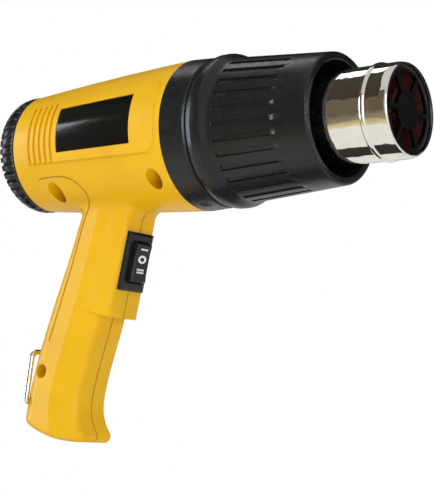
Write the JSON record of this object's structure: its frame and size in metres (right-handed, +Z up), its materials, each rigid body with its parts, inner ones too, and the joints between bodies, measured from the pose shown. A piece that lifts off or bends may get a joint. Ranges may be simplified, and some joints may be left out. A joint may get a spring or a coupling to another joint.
{
  "type": "embossing heat tool",
  "caption": "Pistol-grip hot-air tool for embossing and shrinking, with a steel nozzle tube, pull-off guard sleeve, three-position rocker switch and hanging bail.",
  "frame": {"origin": "centre of the flat rear end, on which the tool stands nozzle-up; on the barrel axis", "axes": "+X along the barrel to the nozzle, +Z up with the grip hanging towards -Z, -Y the side that carries the label"},
  "size_m": [0.2393, 0.0804, 0.1968],
  "materials": {
    "yellow_plastic": "satin moulded plastic, fine spark texture",
    "black_plastic": "satin black moulded plastic",
    "label_black": "bare gloss black plate",
    "steel_chrome": "polished, slightly heat-tinted",
    "plate_black": "heat-blackened",
    "mica": "reddish brown layered mica",
    "heater_ceramic": "matt ceramic",
    "resistance_wire": "oxidised wire",
    "zinc_steel": "zinc-plated",
    "black_screw": "black-oxide screws",
    "duct_plastic": "heat-resistant moulding",
    "motor_steel": "drawn can",
    "magnet": "ferrite",
    "copper": "copper bars",
    "board": "phenolic board with black diodes",
    "brass_blade": "plain",
    "fan_plastic": "moulded nylon"
  },
  "bodies": {
    "gun": {"housing_right": "yellow_plastic", "housing_left": "yellow_plastic", "rating_label": "label_black", "housing_screws": "zinc_steel", "rear_cap": "black_plastic", "front_collar": "black_plastic", "collar_screws": "black_screw", "nozzle_tube": "steel_chrome", "nozzle_front_plate": "plate_black", "flange_screws": "zinc_steel", "mica_tube": "mica", "heater_base": "heater_ceramic", "heater_former": "mica", "heating_coil": "resistance_wire", "thermal_cutoff": "heater_ceramic", "air_duct": "duct_plastic", "motor_can": "motor_steel", "motor_magnets": "magnet", "motor_end_cap": "duct_plastic", "rectifier_board": "board", "switch_body": "black_plastic", "switch_terminals": "brass_blade", "cord_gland": "black_plastic", "cord_clamp": "duct_plastic", "clamp_screws": "zinc_steel"},
    "rotor": {"motor_shaft": "zinc_steel", "motor_armature": "motor_steel", "commutator": "copper", "fan_impeller": "fan_plastic"},
    "rocker": {"switch_rocker": "black_plastic"},
    "bail": {"hanging_bail": "steel_chrome"},
    "guard": {"guard_sleeve": "black_plastic"}
  },
  "joints": [
    {"name": "rotor_spin", "type": "hinge", "parent": "gun", "child": "rotor", "pos_m": [0.064, 0, 0], "axis": [1, 0, 0], "continuous": true},
    {"name": "rocker_tilt", "type": "hinge", "parent": "gun", "child": "rocker", "pos_m": [0.07431, 0, -0.0631], "axis": [0, 1, 0], "range_deg": [-12, 12]},
    {"name": "bail_swing", "type": "hinge", "parent": "gun", "child": "bail", "pos_m": [0.0144, 0, -0.1365], "axis": [0, -1, 0], "range_deg": [0, 135]},
    {"name": "guard_pull", "type": "slide", "parent": "gun", "child": "guard", "axis": [1, 0, 0], "range_m": [0, 0.122]}
  ]
}
